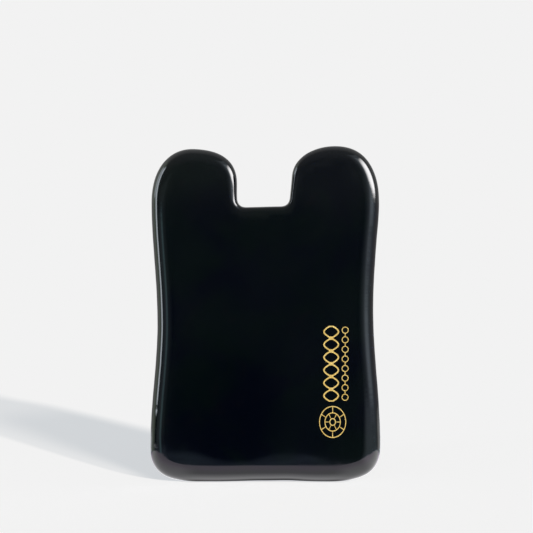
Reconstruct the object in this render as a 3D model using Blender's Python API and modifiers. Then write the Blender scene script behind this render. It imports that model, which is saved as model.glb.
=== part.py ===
"""Gua sha scraper: one polished stone plate with two lobes, and a gilt ornament printed on its face.

Frame: +Z runs up the plate, +X across it and Y through its thickness; the printed face looks to -Y.
The origin is on the plane the plate stands on, on its centre line, halfway through its thickness.
"""

import math

import bmesh
import bpy

MM = 0.001

# Plate, in millimetres. It is ground by hand, so its left and right sides differ a little.
THICKNESS = 8.8
HALF_WIDTH = 29.3  # at the bottom corners, the widest place
WAIST_HALF_WIDTH = 27.35  # the sides draw in here, where fingers hold the plate
LOBE_HALF_WIDTH = 28.75
LEFT_LOBE_TOP = 84.45
RIGHT_LOBE_TOP = 85.2
NOTCH_FLOOR = 69.75
NOTCH_FLOOR_RISE = 0.25  # the floor climbs this much towards the right lobe
NOTCH_LEFT_WALL = -7.15
NOTCH_RIGHT_WALL = 6.2
NOTCH_RIGHT_LEAN = 0.5  # the right wall leans out this much on its way up
NOTCH_CORNER = 1.9  # run of the curve between the floor and each wall
LEFT_FOOT = (-17.5, -15.0)  # the two flat stretches of the bottom edge that touch the table
RIGHT_FOOT = (14.0, 16.5)
FOOT_ARCH = 0.3  # the bottom edge lifts off the table this much between its feet
POINTS_PER_STRETCH = 12

# Rounding of the plate's rim, in millimetres.
RIM_ROUND = 4.1  # leaves a narrow flat land halfway through the thickness
NOTCH_ROUND = 1.3  # the notch is worked with a slimmer wheel, so its rim is sharper
LEFT_ROUND_STARTS = 70.0  # the rim starts to get rounder at this height on the left lobe
RIGHT_ROUND_STARTS = 75.0  # and at this height on the right one
LOBE_ROUND_RISE = 14.0  # it has its full rounding this much higher
NOTCH_ROUND_ENDS = 10.0  # the rim also gets rounder from this far out
RIM_ROUND_STARTS = 15.0  # and has its full rounding here
ROUND_SEGMENTS = 6

# Gilt print, in millimetres. It lies parallel to the front face, clear of it.
PRINT_GAP = 0.3
PRINT_THICKNESS = 0.05
PRINT_BOTTOM = 20.85  # the band and the chain run from here
PRINT_TOP = 40.2  # to here
EMBLEM_CENTRE = (16.95, 15.8)
EMBLEM_SIZE = (6.8, 8.1)
EMBLEM_RINGS = (1.0, 0.6, 0.24)  # each ring's outer radius, as a share of the emblem's
EMBLEM_STROKE = 0.06  # as a share of the emblem's radius
EMBLEM_SPOKES = 6
BAND_CENTRE_X = 16.55
BAND_WIDTH = 4.0
BAND_STROKE = 0.36
BAND_LOOPS = 6
NARROWEST_EYE = 0.02  # the eye of each loop ends where it is this narrow
CHAIN_CENTRE_X = 20.05
CHAIN_WIDTH = 1.75
CHAIN_STROKE = 0.2
CHAIN_RINGS = 8

# The outline, clockwise from the left foot, seen from the front. Each knot is x, z, the heading of
# the outline there in degrees, and how full the stretch to the next knot is: 0.55 is a quarter of
# an ellipse, more is squarer, and 0.33 joins two nearly parallel headings.
OUTLINE = (
    (LEFT_FOOT[1], 0.0, 180, 0.33),
    (LEFT_FOOT[0], 0.0, 180, 0.69),
    (-HALF_WIDTH, 8.5, 90, 0.33),
    (-WAIST_HALF_WIDTH, 41.0, 90, 0.33),
    (-LOBE_HALF_WIDTH, 71.0, 90, 0.60),
    (-18.5, LEFT_LOBE_TOP, 0, 0.65),
    (NOTCH_LEFT_WALL, 76.0, -90, 0.33),
    (NOTCH_LEFT_WALL, NOTCH_FLOOR + NOTCH_CORNER, -90, 0.55),
    (NOTCH_LEFT_WALL + NOTCH_CORNER, NOTCH_FLOOR, 2, 0.33),
    (NOTCH_RIGHT_WALL - NOTCH_CORNER, NOTCH_FLOOR + NOTCH_FLOOR_RISE, 2, 0.55),
    (NOTCH_RIGHT_WALL, NOTCH_FLOOR + NOTCH_FLOOR_RISE + NOTCH_CORNER, 86, 0.33),
    (NOTCH_RIGHT_WALL + NOTCH_RIGHT_LEAN, 77.5, 87, 0.55),
    (17.8, RIGHT_LOBE_TOP, 0, 0.63),
    (LOBE_HALF_WIDTH, 71.0, -90, 0.33),
    (28.07, 60.0, -94, 0.33),
    (WAIST_HALF_WIDTH, 44.5, -90, 0.33),
    (HALF_WIDTH, 9.0, -90, 0.70),
    (RIGHT_FOOT[1], 0.0, 180, 0.33),
    (RIGHT_FOOT[0], 0.0, 180, 0.40),
    (4.5, FOOT_ARCH, 180, 0.33),  # the highest place between the feet
)


def clear_scene():
    for scene_object in list(bpy.data.objects):
        bpy.data.objects.remove(scene_object, do_unlink=True)


def new_collection(name):
    collection = bpy.data.collections.new(name)
    bpy.context.scene.collection.children.link(collection)
    return collection


def new_material(name, color, roughness, metallic):
    material = bpy.data.materials.new(name)
    material.use_nodes = True
    shader = material.node_tree.nodes["Principled BSDF"]
    shader.inputs["Base Color"].default_value = (*color, 1.0)
    shader.inputs["Roughness"].default_value = roughness
    shader.inputs["Metallic"].default_value = metallic
    return material


def smoothstep(low, high, value):
    share = min(max((value - low) / (high - low), 0.0), 1.0)
    return share * share * (3.0 - 2.0 * share)


def flat_curve(name, thickness, resolution):
    """A 2D curve filled on both sides. Its own XY plane becomes the plate's XZ plane."""
    curve = bpy.data.curves.new(name, "CURVE")
    curve.dimensions = "2D"
    curve.fill_mode = "BOTH"
    curve.extrude = thickness * MM / 2
    curve.resolution_u = resolution
    outline = bpy.data.objects.new(name, curve)
    outline.rotation_euler = (math.pi / 2, 0.0, 0.0)
    return outline


def handle_length(start, end, heading, fullness):
    """The handle's length: fullness times the stretch's run along the heading."""
    run = (end[0] - start[0]) * math.cos(heading) + (end[1] - start[1]) * math.sin(heading)
    return abs(run) * fullness


def add_knots(curve, knots):
    """One closed Bezier spline through knots of x, z, heading and fullness."""
    spline = curve.splines.new("BEZIER")
    spline.bezier_points.add(len(knots) - 1)
    spline.use_cyclic_u = True
    for index, (x, z, heading_degrees, fullness) in enumerate(knots):
        before = knots[index - 1]
        after = knots[(index + 1) % len(knots)]
        heading = math.radians(heading_degrees)
        back = handle_length(before, (x, z), heading, before[3])
        ahead = handle_length((x, z), after, heading, fullness)
        point = spline.bezier_points[index]
        point.handle_left_type = point.handle_right_type = "ALIGNED"
        point.co = (x * MM, z * MM, 0.0)
        step_x = math.cos(heading) * MM
        step_z = math.sin(heading) * MM
        point.handle_left = (x * MM - step_x * back, z * MM - step_z * back, 0.0)
        point.handle_right = (x * MM + step_x * ahead, z * MM + step_z * ahead, 0.0)


def add_polygon(curve, points):
    """One closed straight-sided spline. Inside another one it cuts a hole."""
    spline = curve.splines.new("POLY")
    spline.points.add(len(points) - 1)
    spline.use_cyclic_u = True
    for point, (x, z) in zip(spline.points, points):
        point.co = (x * MM, z * MM, 0.0, 1.0)


def mesh_object(outline, collection, material):
    """Turns the flat curve into a closed mesh of the same name, and removes the curve."""
    name = outline.name
    outline.name = name + "_outline"
    collection.objects.link(outline)
    bpy.context.view_layer.update()
    evaluated = outline.evaluated_get(bpy.context.evaluated_depsgraph_get())
    mesh = bpy.data.meshes.new_from_object(evaluated)
    mesh.name = name
    made = bpy.data.objects.new(name, mesh)
    made.matrix_world = outline.matrix_world.copy()
    bpy.data.objects.remove(outline, do_unlink=True)
    collection.objects.link(made)
    made.data.materials.clear()
    made.data.materials.append(material)
    work = bmesh.new()
    work.from_mesh(mesh)
    bmesh.ops.remove_doubles(work, verts=work.verts, dist=1e-7)
    bmesh.ops.recalc_face_normals(work, faces=work.faces)
    work.to_mesh(mesh)
    work.free()
    return made


def rim_share(x, z):
    """How much of the full rounding the rim has at this place of the outline, in metres."""
    if z < NOTCH_FLOOR * MM / 2:
        return 1.0  # only the upper half has the notch
    least = NOTCH_ROUND / RIM_ROUND
    starts = LEFT_ROUND_STARTS if x < 0 else RIGHT_ROUND_STARTS
    up_lobe = smoothstep(starts * MM, (starts + LOBE_ROUND_RISE) * MM, z)
    outward = smoothstep(NOTCH_ROUND_ENDS * MM, RIM_ROUND_STARTS * MM, abs(x))
    return 1.0 - (1.0 - least) * (1.0 - up_lobe) * (1.0 - outward)


def round_rim(plate):
    """Makes each cap and each foot one face, then bevels the rims by weight: less at the notch."""
    mesh = plate.data
    work = bmesh.new()
    work.from_mesh(mesh)
    bmesh.ops.dissolve_limit(
        work, angle_limit=math.radians(0.1), verts=work.verts, edges=work.edges
    )
    weights = work.edges.layers.float.new("bevel_weight_edge")
    for edge in work.edges:
        first, second = edge.verts
        if math.isclose(first.co.z, second.co.z, abs_tol=1e-6):
            middle = (first.co + second.co) / 2
            edge[weights] = rim_share(middle.x, middle.y)
    work.to_mesh(mesh)
    work.free()
    bevel = plate.modifiers.new("rim", "BEVEL")
    bevel.limit_method = "WEIGHT"
    bevel.width = RIM_ROUND * MM
    bevel.segments = ROUND_SEGMENTS
    bevel.use_clamp_overlap = False


def add_scraper_body(collection):
    stone = new_material("polished_black_stone", (0.006, 0.009, 0.012), 0.06, 0.0)
    outline = flat_curve("scraper_body", THICKNESS, POINTS_PER_STRETCH)
    add_knots(outline.data, OUTLINE)
    plate = mesh_object(outline, collection, stone)
    round_rim(plate)
    plate.data.shade_smooth()
    plate.data.set_sharp_from_angle(angle=math.radians(40))
    return plate


def ring_points(radius, count):
    angles = [math.tau * step / count for step in range(count)]
    return [(radius * math.cos(angle), radius * math.sin(angle)) for angle in angles]


def sector_points(inner, outer, start, end, count=14):
    """An arc-shaped window between two radii and two angles."""
    angles = [start + (end - start) * step / count for step in range(count + 1)]
    out = [(outer * math.cos(angle), outer * math.sin(angle)) for angle in angles]
    back = [(inner * math.cos(angle), inner * math.sin(angle)) for angle in reversed(angles)]
    return out + back


def add_gilt_emblem(collection, gilt):
    """Three rings, tied by short spokes that are staggered from one gap to the next."""
    outline = flat_curve("gilt_emblem", PRINT_THICKNESS, 1)
    middle_x, middle_z = EMBLEM_CENTRE
    half_width, half_height = EMBLEM_SIZE[0] / 2, EMBLEM_SIZE[1] / 2
    holes = []
    for gap, (outer_ring, inner_ring) in enumerate(zip(EMBLEM_RINGS, EMBLEM_RINGS[1:])):
        outer = outer_ring - EMBLEM_STROKE
        half_spoke = EMBLEM_STROKE / 2 / outer
        for spoke in range(EMBLEM_SPOKES):
            start = math.tau * (spoke + gap / 2) / EMBLEM_SPOKES + math.pi / 2
            end = start + math.tau / EMBLEM_SPOKES
            holes.append(sector_points(inner_ring, outer, start + half_spoke, end - half_spoke))
    centre_hole = EMBLEM_RINGS[-1] - EMBLEM_STROKE
    holes.append(ring_points(centre_hole, 24))
    for points in [ring_points(1.0, 60)] + holes:
        placed = [(middle_x + x * half_width, middle_z + z * half_height) for x, z in points]
        add_polygon(outline.data, placed)
    return mesh_object(outline, collection, gilt)


def strand_side(offset, pitch, samples):
    """One side of a sine strand, from a loop before to a loop after: distance along, and height."""
    reach = (BAND_WIDTH - BAND_STROKE) / 2
    side = []
    for step in range(-samples, 2 * samples + 1):
        along = pitch * step / samples
        height = reach * math.sin(math.pi * along / pitch)
        slope = reach * math.pi / pitch * math.cos(math.pi * along / pitch)
        length = math.hypot(1.0, slope)
        side.append((along - offset * slope / length, height + offset / length))
    return side


def add_gilt_main_band(collection, gilt):
    """Two strands that cross at the end of every loop: a scalloped outline, and an eye a loop."""
    outline = flat_curve("gilt_main_band", PRINT_THICKNESS, 1)
    pitch = (PRINT_TOP - PRINT_BOTTOM) / BAND_LOOPS
    samples = 12
    half_stroke = BAND_STROKE / 2
    outer = [p for p in strand_side(half_stroke, pitch, samples) if 0.0 <= p[0] <= pitch]
    inner = [p for p in strand_side(-half_stroke, pitch, samples) if 0.0 < p[0] < pitch]
    inner = [p for p in inner if p[1] > NARROWEST_EYE]
    left, right = [], []
    for loop in range(BAND_LOOPS):
        start = PRINT_BOTTOM + loop * pitch
        left += [(BAND_CENTRE_X - height, start + along) for along, height in outer]
        right += [(BAND_CENTRE_X + height, start + along) for along, height in outer]
        eye = [(BAND_CENTRE_X - height, start + along) for along, height in inner]
        eye += [(BAND_CENTRE_X + height, start + along) for along, height in reversed(inner)]
        add_polygon(outline.data, eye)
    add_polygon(outline.data, left + right[::-1])
    return mesh_object(outline, collection, gilt)


def add_gilt_fine_line(collection, gilt):
    """Small rings in a row, each tied to the next by a short bar."""
    outline = flat_curve("gilt_fine_line", PRINT_THICKNESS, 1)
    pitch = (PRINT_TOP - PRINT_BOTTOM) / CHAIN_RINGS
    outer = CHAIN_WIDTH / 2
    bar_angle = math.asin(CHAIN_STROKE / 2 / outer)
    arc_steps = 10
    left, right = [], []
    for ring in range(CHAIN_RINGS):
        middle = PRINT_BOTTOM + (ring + 0.5) * pitch
        for step in range(arc_steps + 1):
            angle = bar_angle + (math.pi - 2 * bar_angle) * step / arc_steps
            reach = outer * math.sin(angle)
            along = middle - outer * math.cos(angle)
            left.append((CHAIN_CENTRE_X - reach, along))
            right.append((CHAIN_CENTRE_X + reach, along))
        hole = ring_points(outer - CHAIN_STROKE, 18)
        add_polygon(outline.data, [(CHAIN_CENTRE_X + x, middle + z) for x, z in hole])
    add_polygon(outline.data, left + right[::-1])
    return mesh_object(outline, collection, gilt)


def lay_on_front(printed):
    """Moves a print from the plate's middle plane to just clear of the front face."""
    printed.location.y = -(THICKNESS / 2 + PRINT_GAP + PRINT_THICKNESS / 2) * MM


def main():
    clear_scene()
    parts = new_collection("gua_sha_scraper")
    add_scraper_body(parts)
    gilt = new_material("gilt_print", (0.67, 0.45, 0.13), 0.28, 1.0)
    for add_print in (add_gilt_emblem, add_gilt_main_band, add_gilt_fine_line):
        lay_on_front(add_print(parts, gilt))


main()
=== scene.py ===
"""Looks of the gua sha scraper: a mirror-polished black stone plate with a gilt print.

The plate is a smooth loft on the outline and rim rounding of the CAD plate, and the print is laid
on its face. The floor, studio and camera follow: a low camera, a sun from the front right, and a
dark studio whose few lit panels draw the lines of light on the rounded rim.
"""

import math

import bpy
import numpy as np
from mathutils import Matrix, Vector
from mathutils.geometry import delaunay_2d_cdt


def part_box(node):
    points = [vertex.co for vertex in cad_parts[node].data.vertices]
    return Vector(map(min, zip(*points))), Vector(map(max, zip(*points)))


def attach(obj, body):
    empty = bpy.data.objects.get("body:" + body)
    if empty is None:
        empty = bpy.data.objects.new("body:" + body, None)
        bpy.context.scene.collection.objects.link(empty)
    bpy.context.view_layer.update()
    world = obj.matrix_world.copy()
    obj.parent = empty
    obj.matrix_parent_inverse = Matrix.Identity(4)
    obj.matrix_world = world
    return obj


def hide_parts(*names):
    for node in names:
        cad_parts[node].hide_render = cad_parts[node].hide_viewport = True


MM = 0.001

# Plate mesh.
SAME_PLACE = 2e-6  # two corners of the CAD mesh this close together, seen face-on, are one
OVERSAMPLING = 8
RING_POINTS = 720  # around the outline
RIM_STEPS = 22  # round each edge
FACE_GRID = 1.3 * MM  # spacing of the points inside each face
RING_CLEARANCE = 0.6 * FACE_GRID
MERGE_DISTANCE = 1e-9
OUTLINE_SMOOTHING = 0.5 * MM
ROUNDING_SMOOTHING = 4 * OUTLINE_SMOOTHING
FACE_WAVE = 0.012 * MM  # what hand polishing leaves of a wave on the faces
RIM_WAVE = 0.03 * MM
CORNER_MORE = 0.2  # how much further the rim's curve reaches in at the bottom corners
CORNER_STARTS = (12 * MM, 24 * MM)  # that starts and is full this far from the centre line
RIGHT_CORNER_ENDS = (6 * MM, 26 * MM)  # and it starts to fall and ends this high up
LEFT_CORNER_ENDS = (5 * MM, 13 * MM)
# Small bruises low on the side rims: x side, z, how far round the rim in degrees, radius, depth.
BRUISES = (
    (-1, 18.9 * MM, 42, 0.7 * MM, 0.035 * MM),
    (-1, 9.2 * MM, 50, 1.1 * MM, 0.05 * MM),
    (-1, 30.5 * MM, 55, 0.8 * MM, 0.02 * MM),
    (1, 12.4 * MM, 48, 0.9 * MM, 0.03 * MM),
)
BRUISED_SIDE = 0.8  # they lie outside this share of the half width

# Gilt print, measured from the stone's face.
FILM_HEIGHT = 0.02 * MM
FILM_SINK = 0.01 * MM

# Stone.
STONE_COLORS = ((0.0005, 0.0013, 0.0040, 1), (0.0009, 0.0030, 0.0034, 1))
VEIN_COLOR = (0.0022, 0.0026, 0.0042, 1)
VEIN_SHARE = 0.6
STONE_IOR = 1.55
STONE_ROUGHNESS = 0.05
SMEAR_ROUGHNESS = 0.045  # these three add to it in places
HAIRLINE_ROUGHNESS = 0.06
MARK_ROUGHNESS = 0.05
MARKS_START = 5.5 * MM  # in from the sides
MARKS_FULL = 3.5 * MM
MARK_DEPTH = 0.009 * MM
SKIN_DEPTH = 0.0006 * MM

# Gold foil.
FOIL_COLORS = ((0.78, 0.56, 0.16, 1), (0.86, 0.66, 0.23, 1))
WORN_COLOR = (0.05, 0.04, 0.025, 1)
WORN_SHARE = 0.85
FOIL_METALLIC = 0.25
FOIL_ROUGHNESS = (0.38, 0.6)
FOIL_GRAIN = 0.002 * MM

# Camera, in metres.
CAMERA_DISTANCE = 0.4
CAMERA_HEIGHT = 0.075
CAMERA_CLIP = 0.01
FRAME_WIDTH = 0.13496  # what the frame shows across at the plate's distance
AIM_X = 0.0003
AIM_Z = 0.05476
SENSOR_WIDTH = 36.0  # in millimetres, as Blender has it

# Light. Shares are of the floor's brightness where nothing shades it.
BACKDROP = 0.888
FLOOR_SIZE = 6.0
FLOOR_ALBEDO = 0.9
AMBIENT_SHARE = (0.725, 0.752, 0.778)
OCCLUDABLE = 0.12  # the part of the ambient light that the plate can keep off the floor
AMBIENT_FRONT, AMBIENT_BACK = 1.5, 0.5  # how that part is spread
AMBIENT_TURNS = (-0.3, 0.3)  # the y of the directions over which it goes from one to the other
SUN_HEADING = -55.0  # degrees, as the two below: from +X towards +Y
SUN_ELEVATION = 18.5
SUN_SIZE = 2.2

# The shadow gets painted fill light along its sides and down its length: the floor glows there in
# place of the sun.
SHADOW_HEADING = SUN_HEADING + 180
SHADOW_HALF_WIDTH = 0.0235
SHADOW_STARTS = (0.010, 0.035)  # nothing is filled in right beside the plate
NEAR_EDGE_NARROWS = 0.17  # how fast the fade on the shadow's near side widens
NEAR_EDGE_FILL = 0.55
FAR_EDGE_FADE = (-0.0250, -0.0130)
FAR_EDGE_NARROWS = 0.004  # the far side's fade moves in by this much
FAR_EDGE_TURNS = (0.150, 0.190)  # over this stretch
SHADOW_PALES = (0.120, 0.165)
PALING = 0.3

# In reflections only a painted pool of the floor round the plate shows: a glow with a bright core
# and a faint, unevenly bright tail, in place of the lit floor.
# Four marks say where something starts, is full, starts to fall, and ends.
POOL_EDGE = (0.0268, 0.0302)
POOL_COLOR = (1.15, 1.03, 1.19, 1)
POOL_FOOT_COLOR = (1.06, 1.05, 1.07, 1)
POOL_FOOT = (0.004, 0.016)  # the foot colour gives way to the pool's over these distances
POOL_CENTRE_X = -0.002
POOL_HALF_LENGTH = 0.020
POOL_LEFT_SQUEEZE = 0.58  # the pool reaches further sideways
POOL_RIGHT_SQUEEZE = 0.61
TAIL_FAR = 0.042
TAIL_LEFT = (-0.050, -0.036, -0.023, -0.009)  # here the tail reaches further
TAIL_LEFT_MORE = 0.017
TAIL_RIGHT = (-0.006, 0.004, 0.010, 0.020)  # and here
TAIL_RIGHT_MORE = 0.013
TAIL_LEFT_END = (-0.062, -0.048)
TAIL_RIGHT_END = (0.013, 0.022)
TAIL_PAST_RIGHT_END = 0.25
TAIL_FADE_STARTS = 0.78
TAIL_SHARE = 0.2
TAIL_COLOR = (0.78, 1.0, 1.32, 1)
TAIL_PATCHES = (0.6, 1.0)  # the tail is unevenly bright
# Painted shade and painted highlights in the mirrored floor's glow: contact shadow, bright line,
# corner and right glows.
CONTACT_END = (0.017, 0.023)  # the bottom edge leaves the floor past this
CONTACT_SHADOW = 0.9
CONTACT_SHADOW_EDGE = (0.0012, 0.0026)
CONTACT_LINE = (0.0020, 0.0030, 0.0030, 0.0065)  # a bright line beside the contact shadow
CONTACT_LINE_MORE = 1.1
CORNER_GLOW_WIDTH = 0.020
CORNER_GLOW_MORE = 0.7
RIGHT_GLOW = (0.026, 0.036)
RIGHT_GLOW_MORE = 0.7

# What polished surfaces see of the studio. Each light has marks for its turn (degrees, 0 is the
# front and 90 the right), marks for its rise, and a colour.
STUDIO_LIGHTS = {
    "left_wall": ((-135, -121, -98, -84), (-14, -10, 38, 42), (0.24, 0.33, 0.22)),
    "left_upper": ((-116, -106, -86, -76), (0.5, 5.5, 29, 34), (1.95, 2.1, 2.4)),
    "left_gap": ((-84, -66, -46, -28), (-20, -17, -3.2, -0.2), (0.17, 0.20, 0.22)),
    "left_line": ((-54, -45, -42, -33), (-20, -18, -2.5, -0.5), (0.24, 0.50, 0.54)),
    "left_skirt": ((-70, -48, -28, -6), (-16, -7, 5, 14), (0.09, 0.11, 0.12)),
    "right_skirt": ((6, 28, 48, 70), (-16, -7, 5, 14), (0.09, 0.11, 0.12)),
    "right_low": ((2, 34, 80, 110), (-22, -19.5, -7.9, -5.4), (0.38, 0.44, 0.50)),
    "right_wide": ((20, 58, 80, 110), (-7.9, -5.4, 57.5, 60), (0.38, 0.43, 0.49)),
    "right_streak": ((40, 62, 68, 90), (-7.6, -3.2, 46.6, 50), (0.78, 0.91, 1.02)),
}
FRONT_COLOR = (0.034, 0.037, 0.042)
LOBES_COLOR = (0.090, 0.100, 0.088)  # the front above the camera, which the lobes mirror
LOBES_FADE = (-1.6, 0.9)
DARK_SPOT = (-1.7, -7.9)  # turn and rise of an unlit spot in front
DARK_SPOT_EDGE = (1.3, 3.4)
UNEVEN = (0.6, 1.4)  # how much dimmer and brighter the front and the part above it get in patches
# Starts, fades and sides of the next three are in the x, y or z of the direction, not in degrees.
OVERHEAD_COLOR = (0.12, 0.12, 0.13)
OVERHEAD_STARTS = (0.1, 1.0)
BEHIND_COLOR = (1.1, 1.05, 1.07)
BEHIND_STARTS = (-0.1, 0.3)
BEHIND_SIDES = (-0.7, 0.0)
BEHIND_LEFT, BEHIND_RIGHT = 0.30, 0.22
BEHIND_FADE = (0.3, 0.8)
BEHIND_HIGH = 0.75
BEHIND_LOW_COLOR = (0.95, 1.0, 1.06)
BEHIND_LOW_STARTS = (0.35, 0.75)
# And these two are in degrees of rise.
BEHIND_LOW_FADE = (-9.5, -6.0)
BEHIND_LOW_STEEP = (-12.5, -10.8)  # the low light behind doesn't reach further down than this
BEHIND_LOW_LEFT_OVER = 0.12

# Panels beside the plate that only polished surfaces see. Gaps are from the plate's sides, and
# depths and heights are marks again.
SOFTBOX_GAP = 0.29
SOFTBOX_DEPTHS = (-0.27, -0.09, -0.005, 0.072)
SOFTBOX_BELOW_TOP = 0.013  # its heights are measured from this far below the plate's top
SOFTBOX_HEIGHTS = (-0.009, 0.043, 0.18, 0.40)
SOFTBOX_COLOR = (1.0, 0.99, 1.0)
SOFTBOX_STRENGTH = 17.0
SOFTBOX_LEAN = 0.12
STRIP_GAP = 0.10
STRIP_DEPTHS = (-0.026, -0.014, -0.004, 0.010)
STRIP_HEIGHTS = (0.006, 0.018, 0.14, 0.165)
STRIP_COLOR = (0.84, 0.92, 1.0)
STRIP_STRENGTH = 6.0
LOW_STRIP_GAP = 0.06
LOW_STRIP_DEPTHS = (0.006, 0.022, 0.050, 0.075)
LOW_STRIP_HEIGHTS = (-0.014, -0.008, 0.006, 0.015)
LOW_STRIP_COLOR = (1.0, 1.0, 1.0)
LOW_STRIP_STRENGTH = 1.0
CARD_EDGE = 0.3  # a panel is see-through where less of it than this is lit


# ---------------------------------------------------------------- shapes


def cad_outline(plate, half_thickness):
    """The plate's outline as the CAD mesh holds it: x and z of each point, and its rim rounding."""
    corners = np.array([vertex.co for vertex in plate.data.vertices])
    found = {}
    for edge in plate.data.edges:
        first, second = corners[edge.vertices[0]], corners[edge.vertices[1]]
        crosses = first[1] * second[1] < 0
        if crosses and np.hypot(first[0] - second[0], first[2] - second[2]) < SAME_PLACE:
            place = (round(float(first[0]), 6), round(float(first[2]), 6))
            found[place] = half_thickness - abs(float(first[1]))
    points = np.array(list(found))
    rounding = np.array(list(found.values()))
    order = [int(points[:, 1].argmin())]
    left = set(range(len(points))) - set(order)
    while left:
        here = points[order[-1]]
        nearest = min(left, key=lambda index: np.hypot(*(points[index] - here)))
        order.append(nearest)
        left.remove(nearest)
    points, rounding = points[order], rounding[order]
    after = np.roll(points, -1, axis=0)
    area = (points[:, 0] * after[:, 1] - after[:, 0] * points[:, 1]).sum()
    return (points, rounding) if area > 0 else (points[::-1], rounding[::-1])


def spline_through(values, steps, at):
    """The closed cubic spline through rows of values, steps apart, at the given distances."""
    count = len(values)
    before = np.roll(steps, 1)
    system = np.zeros((count, count))
    rows = np.arange(count)
    system[rows, rows] = 2 * (steps + before)
    system[rows, (rows + 1) % count] += steps
    system[rows, (rows - 1) % count] += before
    after = np.roll(values, -1, axis=0)
    slope = (after - values) / steps[:, None]
    bend = np.linalg.solve(system, 6 * (slope - np.roll(slope, 1, axis=0)))
    starts = np.concatenate([[0.0], np.cumsum(steps)[:-1]])
    piece = np.searchsorted(starts, at, side="right") - 1
    step = steps[piece][:, None]
    ahead = (at - starts[piece])[:, None]
    behind = step - ahead
    bend_next = np.roll(bend, -1, axis=0)[piece]
    curve = (bend[piece] * behind**3 + bend_next * ahead**3) / (6 * step)
    curve += (values[piece] / step - bend[piece] * step / 6) * behind
    curve += (after[piece] / step - bend_next * step / 6) * ahead
    return curve


def smoothed(values, step, reach):
    """Rows of a closed line, blurred over reach."""
    turns = np.fft.rfftfreq(len(values), d=step)
    fade = np.exp(-2 * (math.pi * turns * reach) ** 2)
    return np.fft.irfft(np.fft.rfft(values, axis=0) * fade[:, None], n=len(values), axis=0)


def even_ring(points, rounding):
    """The outline evenly spaced and smooth: x and z, the outward direction, and the rounding."""
    steps = np.hypot(*(np.roll(points, -1, axis=0) - points).T)
    fine = np.linspace(0, steps.sum(), RING_POINTS * OVERSAMPLING, endpoint=False)
    dense = spline_through(points, steps, fine)
    lengths = np.hypot(*(np.roll(dense, -1, axis=0) - dense).T)
    travelled = np.concatenate([[0.0], np.cumsum(lengths)])
    wanted = np.linspace(0, travelled[-1], RING_POINTS, endpoint=False)
    closed = np.vstack([dense, dense[:1]])
    even = np.stack([np.interp(wanted, travelled, closed[:, axis]) for axis in (0, 1)], axis=1)
    spacing = travelled[-1] / RING_POINTS
    even = smoothed(even, spacing, OUTLINE_SMOOTHING)
    marks = np.concatenate([[0.0], np.cumsum(steps)])
    round_closed = np.append(rounding, rounding[0])
    round_even = np.interp(wanted * marks[-1] / travelled[-1], marks, round_closed)
    round_even = smoothed(round_even[:, None], spacing, ROUNDING_SMOOTHING)[:, 0]
    along = np.roll(even, -1, axis=0) - np.roll(even, 1, axis=0)
    along /= np.hypot(*along.T)[:, None]
    outward = np.stack([along[:, 1], -along[:, 0]], axis=1)
    return even, outward, round_even


def slow_wave(x, z):
    """A gentle unevenness between -1 and 1 over a few centimetres, as hand polishing leaves."""
    wave = np.sin(x * 190 + 1.3) * np.sin(z * 150 + 0.4)
    wave += 0.6 * np.sin(x * 90 - z * 230 + 2.1)
    return (wave + 0.4 * np.sin(x * 420 + z * 310)) / 2


def inside_points(ring):
    """Grid points well inside a closed line."""
    low, high = ring.min(axis=0), ring.max(axis=0)
    columns = np.arange(low[0], high[0], FACE_GRID)
    rows = np.arange(low[1], high[1], FACE_GRID)
    grid = np.array([(x, z) for row, z in enumerate(rows)
                     for x in columns + FACE_GRID / 2 * (row % 2)])
    after = np.roll(ring, -1, axis=0)
    inside = np.zeros(len(grid), bool)
    for (x1, z1), (x2, z2) in zip(ring, after):
        spans = (z1 > grid[:, 1]) != (z2 > grid[:, 1])
        with np.errstate(divide="ignore", invalid="ignore"):
            crossing = x1 + (grid[:, 1] - z1) * (x2 - x1) / (z2 - z1)
        inside ^= spans & (grid[:, 0] < crossing)
    grid = grid[inside]
    gaps = np.array([np.hypot(*(ring - point).T).min() for point in grid])
    return grid[gaps > RING_CLEARANCE]


def face_triangles(ring):
    """Points added inside a closed line, and triangles over the line's points and those."""
    extra = inside_points(ring)
    points = [Vector(point) for point in np.vstack([ring, extra])]
    count = len(ring)
    sides = [(index, (index + 1) % count) for index in range(count)]
    _, _, triangles, sources, _, _ = delaunay_2d_cdt(points, sides, [], 1, MERGE_DISTANCE)
    back = [source[0] for source in sources]
    return extra, [tuple(back[corner] for corner in triangle) for triangle in triangles]


def bruise(points, normals, half_thickness, half_width):
    """Presses the small bruises into the rim."""
    for side, z, turn, radius, depth in BRUISES:
        nearby = (points[:, 0] * side > BRUISED_SIDE * half_width) & (points[:, 1] < 0)
        height = math.cos(math.radians(turn)) * half_thickness
        gap = np.hypot(points[:, 2] - z, np.abs(points[:, 1]) - height)
        dent = depth * np.exp(-((gap / radius) ** 2)) * nearby
        points -= normals * dent[:, None]


def ramp(value, low, high):
    """Goes smoothly from 0 to 1 as value goes from low to high."""
    share = np.clip((value - low) / (high - low), 0, 1)
    return share * share * (3 - 2 * share)


def rim_reach(ring, rounding):
    """How far the rim's curve reaches in over the face: further at the bottom corners."""
    more = np.zeros(len(ring))
    for side, (falls, ends) in ((1, RIGHT_CORNER_ENDS), (-1, LEFT_CORNER_ENDS)):
        outwards = CORNER_MORE * ramp(side * ring[:, 0], *CORNER_STARTS)
        more += outwards * ramp(-ring[:, 1], -ends, -falls)
    return rounding * (1 + more)


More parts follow.
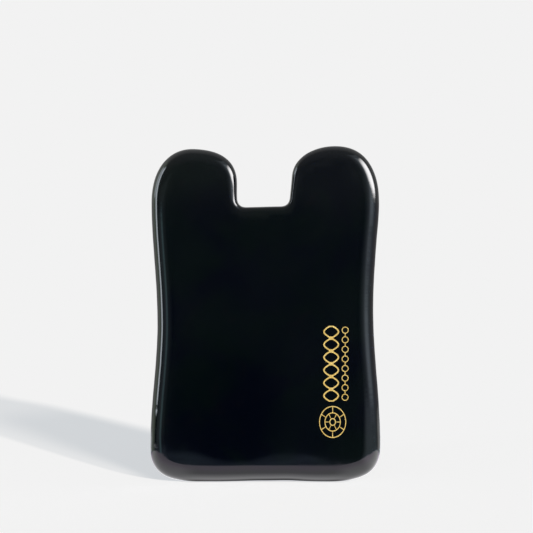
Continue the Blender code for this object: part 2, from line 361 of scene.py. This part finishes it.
def build_plate(cad_plate, low, high):
    """A closed loft: rim sections round the outline, and a triangulated face on either side."""
    half_thickness = (high.y - low.y) / 2
    ring, outward, rounding = even_ring(*cad_outline(cad_plate, half_thickness))
    reach = rim_reach(ring, rounding)
    wave = RIM_WAVE * (slow_wave(ring[:, 1] * 3, ring[:, 0] * 3) - 1)
    quarter = np.linspace(0, math.pi / 2, RIM_STEPS + 1)
    sections, normals = [], []
    for side, angles in ((-1, quarter[::-1]), (1, quarter)):
        for angle in angles:
            inward = reach * (1 - math.cos(angle)) - wave * math.cos(angle)
            depth = side * (half_thickness - rounding * (1 - math.sin(angle)))
            flat = ring - outward * inward[:, None]
            sections.append(np.stack([flat[:, 0], depth, flat[:, 1]], axis=1))
            tilt = outward * math.cos(angle)
            across = np.full(RING_POINTS, side * math.sin(angle))
            normals.append(np.stack([tilt[:, 0], across, tilt[:, 1]], axis=1))
    front_ring = sections[0][:, [0, 2]]
    extra, triangles = face_triangles(front_ring)
    points = np.concatenate(sections)
    bruise(points, np.concatenate(normals), half_thickness, high.x)
    faces = []
    for section in range(len(sections) - 1):
        start = section * RING_POINTS
        for index in range(RING_POINTS):
            following = (index + 1) % RING_POINTS
            faces.append((start + index, start + RING_POINTS + index,
                          start + RING_POINTS + following, start + following))
    for side, ring_start in ((-1, 0), (1, (len(sections) - 1) * RING_POINTS)):
        depth = np.full(len(extra), side * half_thickness)
        inner = np.stack([extra[:, 0], depth, extra[:, 1]], axis=1)
        extra_start = len(points)
        points = np.concatenate([points, inner])
        for triangle in triangles:
            corners = [ring_start + corner if corner < RING_POINTS
                       else extra_start + corner - RING_POINTS for corner in triangle]
            faces.append(tuple(corners if side < 0 else corners[::-1]))
    flatness = (np.abs(points[:, 1]) / half_thickness) ** 4 * np.sign(points[:, 1])
    points[:, 1] += FACE_WAVE * (slow_wave(points[:, 0], points[:, 2]) - 1) * flatness
    mesh = bpy.data.meshes.new("polished_plate")
    mesh.from_pydata([tuple(point) for point in points], [], faces)
    mesh.validate()
    mesh.update()
    mesh.shade_smooth()
    plate = bpy.data.objects.new("polished_plate", mesh)
    bpy.context.scene.collection.objects.link(plate)
    return plate


def build_film(name, source, front):
    """The CAD print laid on the stone's face, as thin as a film, following its faint wave."""
    mesh = source.data.copy()
    corners = np.array([vertex.co for vertex in mesh.vertices])
    middle = (corners[:, 1].min() + corners[:, 1].max()) / 2
    face = front - FACE_WAVE * (slow_wave(corners[:, 0], corners[:, 2]) - 1)
    corners[:, 1] = np.where(corners[:, 1] < middle, face - FILM_HEIGHT, face + FILM_SINK)
    mesh.vertices.foreach_set("co", corners.astype(np.float32).ravel())
    mesh.update()
    film = bpy.data.objects.new(name, mesh)
    bpy.context.scene.collection.objects.link(film)
    return film


# ---------------------------------------------------------------- shader helpers


class Nodes:
    """Short calls for building a node tree."""

    def __init__(self, tree):
        self.tree = tree
        self.tree.nodes.clear()

    def add(self, kind, **settings):
        node = self.tree.nodes.new(kind)
        for name, value in settings.items():
            setattr(node, name, value)
        return node

    def feed(self, socket, value):
        if isinstance(value, bpy.types.NodeSocket):
            self.tree.links.new(value, socket)
        elif value is not None:
            socket.default_value = value

    def math(self, operation, first, second=None, third=None):
        node = self.add("ShaderNodeMath", operation=operation)
        for socket, value in zip(node.inputs, (first, second, third)):
            self.feed(socket, value)
        return node.outputs[0]

    def step(self, value, low, high, start=0.0, end=1.0):
        """Goes smoothly from start to end as value goes from low to high."""
        node = self.add("ShaderNodeMapRange", interpolation_type="SMOOTHSTEP")
        for name, given in (("Value", value), ("From Min", low), ("From Max", high),
                            ("To Min", start), ("To Max", end)):
            self.feed(node.inputs[name], given)
        return node.outputs["Result"]

    def span(self, value, marks):
        """Goes smoothly from 0 to 1 between the first two marks, and back between the last two."""
        starts, full, falls, ends = marks
        return self.product(self.step(value, starts, full), self.step(value, falls, ends, 1.0, 0.0))

    def product(self, *values):
        result = values[0]
        for value in values[1:]:
            result = self.math("MULTIPLY", result, value)
        return result

    def rest(self, share):
        """What a share leaves of 1."""
        return self.math("SUBTRACT", 1.0, share)

    def length(self, first, second):
        squares = self.math("ADD", self.math("POWER", first, 2.0), self.math("POWER", second, 2.0))
        return self.math("SQRT", squares)

    def split(self, place):
        """The x, y and z of a place."""
        node = self.add("ShaderNodeSeparateXYZ")
        self.feed(node.inputs[0], place)
        return node.outputs

    def mix(self, share, first, second):
        node = self.add("ShaderNodeMix", data_type="RGBA")
        self.feed(node.inputs["Factor"], share)
        self.feed(node.inputs[6], first)
        self.feed(node.inputs[7], second)
        return node.outputs[2]

    def mix_shader(self, share, first, second):
        node = self.add("ShaderNodeMixShader")
        self.feed(node.inputs[0], share)
        self.feed(node.inputs[1], first.outputs[0])
        self.feed(node.inputs[2], second.outputs[0])
        return node

    def scaled(self, color, amount):
        """A colour times an amount."""
        node = self.add("ShaderNodeVectorMath", operation="SCALE")
        node.inputs[0].default_value = color[:3]
        self.feed(node.inputs["Scale"], amount)
        return node.outputs[0]

    def total(self, *vectors):
        result = vectors[0]
        for vector in vectors[1:]:
            node = self.add("ShaderNodeVectorMath", operation="ADD")
            self.feed(node.inputs[0], result)
            self.feed(node.inputs[1], vector)
            result = node.outputs[0]
        return result

    def noise(self, place, scale, detail=3.0, roughness=0.5, distortion=0.0):
        node = self.add("ShaderNodeTexNoise")
        self.feed(node.inputs["Vector"], place)
        for name, value in (("Scale", scale), ("Detail", detail), ("Roughness", roughness),
                            ("Distortion", distortion)):
            node.inputs[name].default_value = value
        return node.outputs["Fac"]

    def stretched(self, place, scale):
        node = self.add("ShaderNodeMapping")
        self.feed(node.inputs["Vector"], place)
        node.inputs["Scale"].default_value = scale
        return node.outputs[0]

    def bump(self, height, distance, normal=None):
        node = self.add("ShaderNodeBump")
        node.inputs["Strength"].default_value = 1.0
        node.inputs["Distance"].default_value = distance
        self.feed(node.inputs["Height"], height)
        self.feed(node.inputs["Normal"], normal)
        return node.outputs[0]


def new_material(name):
    material = bpy.data.materials.new(name)
    material.use_nodes = True
    return material, Nodes(material.node_tree)


def finish_material(nodes, shader):
    output = nodes.add("ShaderNodeOutputMaterial")
    nodes.tree.links.new(shader, output.inputs["Surface"])


def polished_stone(half_width):
    """Black glassy stone: faint cloudy colour, hairline scratches, and wheel marks on the rim."""
    material, nodes = new_material("polished_black_stone")
    place = nodes.add("ShaderNodeTexCoord").outputs["Object"]
    cloud = nodes.step(nodes.noise(place, 55, 4, 0.55, 0.6), 0.38, 0.66)
    vein = nodes.step(nodes.noise(place, 140, 5, 0.6, 1.2), 0.55, 0.75)
    color = nodes.mix(cloud, *STONE_COLORS)
    color = nodes.mix(nodes.math("MULTIPLY", vein, VEIN_SHARE), color, VEIN_COLOR)

    smear = nodes.step(nodes.noise(place, 90, 4, 0.6, 0.8), 0.45, 0.7, 0.0, SMEAR_ROUGHNESS)
    hairs = nodes.noise(nodes.stretched(place, (900, 900, 60)), 1.0, 2, 0.6, 0.4)
    hairs = nodes.step(hairs, 0.66, 0.72, 0.0, HAIRLINE_ROUGHNESS)
    rough = nodes.math("ADD", nodes.math("ADD", STONE_ROUGHNESS, smear), hairs)

    side = nodes.math("ABSOLUTE", nodes.split(place)[0])
    on_rim = nodes.step(side, half_width - MARKS_START, half_width - MARKS_FULL)
    marks = nodes.noise(nodes.stretched(place, (240, 60, 1500)), 1.0, 2, 0.5, 0.3)
    matt_marks = nodes.product(nodes.step(marks, 0.4, 0.65, 0.0, MARK_ROUGHNESS), on_rim)
    rough = nodes.math("ADD", rough, matt_marks)
    marks = nodes.product(marks, on_rim)
    skin = nodes.noise(place, 650, 2, 0.5)
    normal = nodes.bump(skin, SKIN_DEPTH)
    normal = nodes.bump(marks, MARK_DEPTH, normal)

    shader = nodes.add("ShaderNodeBsdfPrincipled")
    nodes.feed(shader.inputs["Base Color"], color)
    nodes.feed(shader.inputs["Roughness"], rough)
    shader.inputs["IOR"].default_value = STONE_IOR
    nodes.feed(shader.inputs["Normal"], normal)
    finish_material(nodes, shader.outputs[0])
    return material


def gilt_print():
    """Gold foil print: satin metal with a fine grain, a little thin and dull in places."""
    material, nodes = new_material("gilt_foil_print")
    place = nodes.add("ShaderNodeTexCoord").outputs["Object"]
    grain = nodes.noise(place, 5200, 2, 0.6)
    patch = nodes.noise(place, 520, 4, 0.6)
    color = nodes.mix(nodes.step(patch, 0.35, 0.65), *FOIL_COLORS)
    worn = nodes.step(nodes.noise(place, 2600, 3, 0.7), 0.68, 0.74, 0.0, WORN_SHARE)
    color = nodes.mix(worn, color, WORN_COLOR)
    shader = nodes.add("ShaderNodeBsdfPrincipled")
    nodes.feed(shader.inputs["Base Color"], color)
    shader.inputs["Metallic"].default_value = FOIL_METALLIC
    nodes.feed(shader.inputs["Roughness"], nodes.step(grain, 0.2, 0.8, *FOIL_ROUGHNESS))
    nodes.feed(shader.inputs["Normal"], nodes.bump(grain, FOIL_GRAIN))
    finish_material(nodes, shader.outputs[0])
    return material


# ---------------------------------------------------------------- studio


def painted_shadow_fill(nodes, x, y):
    """How much painted sunlight the floor's glow puts back into the plate's shadow.

    The real light is wide, so its shadow narrows and pales away from the plate; this paints that in
    as floor glow. along is how far a place lies down the shadow, and across is how far it lies off
    the shadow's middle line.
    """
    heading = math.radians(SHADOW_HEADING)
    cosine, sine = math.cos(heading), math.sin(heading)
    along = nodes.math("MULTIPLY_ADD", x, cosine, nodes.math("MULTIPLY", y, sine))
    across = nodes.math("MULTIPLY_ADD", y, cosine, nodes.math("MULTIPLY", x, -sine))
    near_start = nodes.math("MULTIPLY_ADD", along, -NEAR_EDGE_NARROWS, SHADOW_HALF_WIDTH)
    near_edge = nodes.step(across, near_start, SHADOW_HALF_WIDTH, 0.0, NEAR_EDGE_FILL)
    moved_in = nodes.step(along, *FAR_EDGE_TURNS, 0.0, FAR_EDGE_NARROWS)
    far_edge = nodes.step(nodes.math("SUBTRACT", across, moved_in), *FAR_EDGE_FADE, 1.0, 0.0)
    paling = nodes.step(along, *SHADOW_PALES, 0.0, PALING)
    shaded = nodes.product(nodes.rest(near_edge), nodes.rest(far_edge), nodes.rest(paling))
    return nodes.product(nodes.rest(shaded), nodes.step(along, *SHADOW_STARTS))


def pool_shares(nodes, place, x, y):
    """How much of the painted floor glow polished surfaces see, and how much of it is the bright
    core.
    """
    off_centre = nodes.math("ABSOLUTE", nodes.math("SUBTRACT", x, POOL_CENTRE_X))
    beside = nodes.math("MAXIMUM", nodes.math("SUBTRACT", off_centre, POOL_HALF_LENGTH), 0.0)
    squeeze = nodes.step(x, -POOL_HALF_LENGTH, POOL_HALF_LENGTH,
                         POOL_LEFT_SQUEEZE, POOL_RIGHT_SQUEEZE)
    distance = nodes.length(nodes.product(beside, squeeze), y)
    core = nodes.step(distance, *POOL_EDGE, 1.0, 0.0)
    reach = nodes.math("MULTIPLY_ADD", nodes.span(x, TAIL_LEFT), TAIL_LEFT_MORE, TAIL_FAR)
    reach = nodes.math("MULTIPLY_ADD", nodes.span(x, TAIL_RIGHT), TAIL_RIGHT_MORE, reach)
    tail = nodes.product(
        nodes.step(nodes.math("DIVIDE", distance, reach), TAIL_FADE_STARTS, 1.0, 1.0, 0.0),
        nodes.step(x, *TAIL_RIGHT_END, 1.0, TAIL_PAST_RIGHT_END),
        nodes.step(x, *TAIL_LEFT_END),
        nodes.step(nodes.noise(place, 60, 3, 0.5), 0.35, 0.6, *TAIL_PATCHES),
        TAIL_SHARE,
    )
    return nodes.math("MAXIMUM", core, tail), core


def pool_strength(nodes, x, foot):
    """The painted pool's brightness: painted shade where the plate touches the floor, and a painted
    bright line and glows just beside it.
    """
    # painted contact shadow and painted bright line along the bottom edge, painted glow at the
    # corners and on the right
    touching = nodes.step(nodes.math("ABSOLUTE", x), *CONTACT_END, 1.0, 0.0)
    line = nodes.product(nodes.span(foot, CONTACT_LINE), touching)
    corner_glow = nodes.step(foot, 0.0, CORNER_GLOW_WIDTH, 1.0, 0.0)
    corner_glow = nodes.product(nodes.rest(touching), corner_glow)
    dark = nodes.product(nodes.step(foot, *CONTACT_SHADOW_EDGE, CONTACT_SHADOW, 0.0), touching)
    strength = nodes.math("MULTIPLY_ADD", line, CONTACT_LINE_MORE, 1.0)
    strength = nodes.math("MULTIPLY_ADD", corner_glow, CORNER_GLOW_MORE, strength)
    strength = nodes.math("MULTIPLY_ADD", nodes.step(x, *RIGHT_GLOW), RIGHT_GLOW_MORE, strength)
    return nodes.product(strength, nodes.rest(dark))


def painted_floor_reflection(nodes, place, x, y):
    """The floor as polished surfaces see it: a painted glow in place of the lit floor, which the
    rim mirrors.
    """
    foot = nodes.math("ABSOLUTE", y)
    pool, core = pool_shares(nodes, place, x, y)
    pool_color = nodes.mix(nodes.step(foot, *POOL_FOOT), POOL_FOOT_COLOR, POOL_COLOR)
    glow = nodes.add("ShaderNodeEmission")
    nodes.feed(glow.inputs["Color"], nodes.mix(core, TAIL_COLOR, pool_color))
    nodes.feed(glow.inputs["Strength"], pool_strength(nodes, x, foot))
    clear = nodes.add("ShaderNodeBsdfTransparent")
    return nodes.mix_shader(pool, clear, glow)


def seen_floor(nodes, x, y):
    """The floor as the camera sees it: where painted fill light is put in, it is as bright as the
    backdrop.
    """
    fill = painted_shadow_fill(nodes, x, y)
    matt = nodes.add("ShaderNodeBsdfDiffuse")
    albedo = (FLOOR_ALBEDO, FLOOR_ALBEDO, FLOOR_ALBEDO, 1)
    # painted fill light: where the fill is up, the sunlit albedo gives way to the floor's glow
    nodes.feed(matt.inputs["Color"], nodes.mix(fill, albedo, (0.0, 0.0, 0.0, 1)))
    even = (*[share * (1 - OCCLUDABLE) for share in AMBIENT_SHARE], 1)
    ambient = nodes.add("ShaderNodeEmission")
    nodes.feed(ambient.inputs["Color"], nodes.mix(fill, even, (1.0, 1.0, 1.0, 1)))
    ambient.inputs["Strength"].default_value = BACKDROP
    lit = nodes.add("ShaderNodeAddShader")
    nodes.feed(lit.inputs[0], matt.outputs[0])
    nodes.feed(lit.inputs[1], ambient.outputs[0])
    return lit


def add_floor():
    """A pale floor. In reflections only a painted glowing patch of it round the plate shows."""
    half = FLOOR_SIZE / 2
    mesh = bpy.data.meshes.new("studio_floor")
    corners = [(-half, -half, 0), (half, -half, 0), (half, half, 0), (-half, half, 0)]
    mesh.from_pydata(corners, [], [(0, 1, 2, 3)])
    floor = bpy.data.objects.new("studio_floor", mesh)
    bpy.context.scene.collection.objects.link(floor)
    material, nodes = new_material("pale_floor")
    place = nodes.add("ShaderNodeTexCoord").outputs["Object"]
    x, y, _ = nodes.split(place)
    in_reflection = nodes.add("ShaderNodeLightPath").outputs["Is Glossy Ray"]
    seen, mirrored = seen_floor(nodes, x, y), painted_floor_reflection(nodes, place, x, y)
    shader = nodes.mix_shader(in_reflection, seen, mirrored)
    finish_material(nodes, shader.outputs[0])
    material.cycles.emission_sampling = "NONE"
    floor.data.materials.append(material)


def add_sun():
    """The sun makes up what the ambient light leaves of the backdrop's brightness on the floor."""
    lamp = bpy.data.lights.new("sun", "SUN")
    lamp.angle = math.radians(SUN_SIZE)
    around, up = math.radians(SUN_HEADING), math.radians(SUN_ELEVATION)
    missing = [BACKDROP * (1 - ambient) for ambient in AMBIENT_SHARE]
    power = [math.pi * part / FLOOR_ALBEDO / math.sin(up) for part in missing]
    lamp.energy = max(power)
    lamp.color = [part / max(power) for part in power]
    sun = bpy.data.objects.new("sun", lamp)
    flat = math.cos(up)
    towards = Vector((math.cos(around) * flat, math.sin(around) * flat, math.sin(up)))
    sun.rotation_euler = towards.to_track_quat("Z", "Y").to_euler()
    sun.visible_glossy = False
    bpy.context.scene.collection.objects.link(sun)


def mirrored_studio(nodes, direction):
    """The light from each direction as polished surfaces see it."""
    right, back, up = nodes.split(direction)
    turn = nodes.math("ARCTAN2", right, nodes.math("MULTIPLY", back, -1.0))
    turn = nodes.math("MULTIPLY", turn, 180 / math.pi)
    rise = nodes.math("MULTIPLY", nodes.math("ARCSINE", up), 180 / math.pi)

    off_spot = nodes.length(nodes.math("SUBTRACT", turn, DARK_SPOT[0]),
                            nodes.math("SUBTRACT", rise, DARK_SPOT[1]))
    uneven = nodes.step(nodes.noise(direction, 26, 3, 0.55), 0.3, 0.7, *UNEVEN)
    front = nodes.product(nodes.step(off_spot, *DARK_SPOT_EDGE), uneven)
    lobes = nodes.product(nodes.step(rise, *LOBES_FADE), uneven)
    overhead = nodes.step(up, *OVERHEAD_STARTS)
    behind = nodes.product(nodes.step(back, *BEHIND_STARTS),
                           nodes.step(right, *BEHIND_SIDES, BEHIND_LEFT, BEHIND_RIGHT),
                           nodes.step(up, *BEHIND_FADE, 1.0, BEHIND_HIGH))
    behind_low = nodes.product(nodes.step(back, *BEHIND_LOW_STARTS),
                               nodes.step(rise, *BEHIND_LOW_FADE, 1.0, 0.0),
                               nodes.step(rise, *BEHIND_LOW_STEEP, BEHIND_LOW_LEFT_OVER, 1.0))
    parts = [nodes.scaled(FRONT_COLOR, front), nodes.scaled(LOBES_COLOR, lobes),
             nodes.scaled(OVERHEAD_COLOR, overhead), nodes.scaled(BEHIND_COLOR, behind),
             nodes.scaled(BEHIND_LOW_COLOR, behind_low)]
    for turns, rises, color in STUDIO_LIGHTS.values():
        lit = nodes.product(nodes.span(turn, turns), nodes.span(rise, rises))
        parts.append(nodes.scaled(color, lit))
    return nodes.total(*parts), back


def add_world():
    """The light from all round.

    The camera sees the backdrop, matt surfaces see a soft light that is stronger in front, and
    polished ones see the studio.
    """
    world = bpy.data.worlds.new("studio")
    bpy.context.scene.world = world
    world.use_nodes = True
    world.cycles.sampling_method = "NONE"
    nodes = Nodes(world.node_tree)
    studio, back = mirrored_studio(nodes, nodes.add("ShaderNodeTexCoord").outputs["Generated"])
    path = nodes.add("ShaderNodeLightPath")
    ambient = [BACKDROP * share * OCCLUDABLE / FLOOR_ALBEDO for share in AMBIENT_SHARE]
    ambient = nodes.scaled(ambient, nodes.step(back, *AMBIENT_TURNS, AMBIENT_FRONT, AMBIENT_BACK))
    seen = nodes.mix(path.outputs["Is Glossy Ray"], ambient, studio)
    seen = nodes.mix(path.outputs["Is Camera Ray"], seen, (BACKDROP, BACKDROP, BACKDROP, 1))
    background = nodes.add("ShaderNodeBackground")
    nodes.feed(background.inputs["Color"], seen)
    output = nodes.add("ShaderNodeOutputWorld")
    nodes.tree.links.new(background.outputs[0], output.inputs["Surface"])


def add_card(name, x, depths, heights, color, strength, lean=0.0):
    """A panel across the X axis that only polished surfaces see, lit softly up to its edges.

    depths and heights each hold where the light starts, is full, starts to fall, and ends. The
    front edge lies further back, by up to lean, where the light starts at the bottom.
    """
    mesh = bpy.data.meshes.new(name)
    corners = [(x, depths[0], heights[0]), (x, depths[3], heights[0]),
               (x, depths[3], heights[3]), (x, depths[0], heights[3])]
    mesh.from_pydata(corners, [], [(0, 1, 2, 3)])
    card = bpy.data.objects.new(name, mesh)
    bpy.context.scene.collection.objects.link(card)
    material, nodes = new_material(name)
    _, depth, height = nodes.split(nodes.add("ShaderNodeTexCoord").outputs["Object"])
    lag = nodes.step(height, heights[0], 2 * heights[1] - heights[0], lean, 0.0)
    lit = nodes.product(
        nodes.step(nodes.math("SUBTRACT", depth, lag), depths[0], depths[1]),
        nodes.step(depth, depths[2], depths[3], 1.0, 0.0),
        nodes.span(height, heights),
    )
    shader = nodes.add("ShaderNodeEmission")
    shader.inputs["Color"].default_value = (*color, 1)
    nodes.feed(shader.inputs["Strength"], nodes.math("MULTIPLY", lit, strength))
    unlit = nodes.add("ShaderNodeBsdfTransparent")
    panel = nodes.mix_shader(nodes.step(lit, 0.0, CARD_EDGE), unlit, shader)
    finish_material(nodes, panel.outputs[0])
    material.cycles.emission_sampling = "NONE"
    mesh.materials.append(material)
    for ray in ("camera", "diffuse", "transmission", "volume_scatter", "shadow"):
        setattr(card, f"visible_{ray}", False)


def add_cards(low, high):
    """A large softbox on the right, a strip on the left, and a small low one behind on the right.

    The softbox's lower edge is about level with the notch. The low strip reaches below the floor,
    which is clear in reflections outside the pool.
    """
    softbox_heights = [high.z - SOFTBOX_BELOW_TOP + mark for mark in SOFTBOX_HEIGHTS]
    add_card("key_softbox", high.x + SOFTBOX_GAP, SOFTBOX_DEPTHS, softbox_heights,
             SOFTBOX_COLOR, SOFTBOX_STRENGTH, SOFTBOX_LEAN)
    add_card("left_strip", low.x - STRIP_GAP, STRIP_DEPTHS, STRIP_HEIGHTS,
             STRIP_COLOR, STRIP_STRENGTH)
    add_card("low_strip", high.x + LOW_STRIP_GAP, LOW_STRIP_DEPTHS, LOW_STRIP_HEIGHTS,
             LOW_STRIP_COLOR, LOW_STRIP_STRENGTH)


def add_camera():
    camera = bpy.data.objects.new("camera", bpy.data.cameras.new("camera"))
    camera.data.sensor_width = SENSOR_WIDTH
    camera.location = (AIM_X, -CAMERA_DISTANCE, CAMERA_HEIGHT)
    aim = Vector((AIM_X, 0.0, AIM_Z)) - camera.location
    camera.data.lens = SENSOR_WIDTH * aim.length / FRAME_WIDTH
    camera.rotation_euler = aim.to_track_quat("-Z", "Y").to_euler()
    camera.data.clip_start = CAMERA_CLIP
    bpy.context.scene.collection.objects.link(camera)
    bpy.context.scene.camera = camera


# ---------------------------------------------------------------- scene


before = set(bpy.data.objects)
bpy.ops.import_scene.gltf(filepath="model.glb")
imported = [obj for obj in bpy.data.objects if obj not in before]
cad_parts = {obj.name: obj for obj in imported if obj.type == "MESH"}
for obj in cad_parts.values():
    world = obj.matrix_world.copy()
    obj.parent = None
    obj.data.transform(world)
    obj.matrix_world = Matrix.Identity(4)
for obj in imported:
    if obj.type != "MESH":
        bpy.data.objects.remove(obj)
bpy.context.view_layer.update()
plate_low, plate_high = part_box("scraper_body")

plate = build_plate(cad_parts["scraper_body"], plate_low, plate_high)
plate.data.materials.append(polished_stone(plate_high.x))
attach(plate, "root")
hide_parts("scraper_body")

gilt = gilt_print()
for node in ("gilt_emblem", "gilt_main_band", "gilt_fine_line"):
    film = build_film(node + "_film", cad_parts[node], plate_low.y)
    film.data.materials.clear()
    film.data.materials.append(gilt)
    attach(film, "root")
    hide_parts(node)

add_floor()
add_sun()
add_world()
add_cards(plate_low, plate_high)
add_camera()
bpy.context.scene.view_settings.view_transform = "Standard"
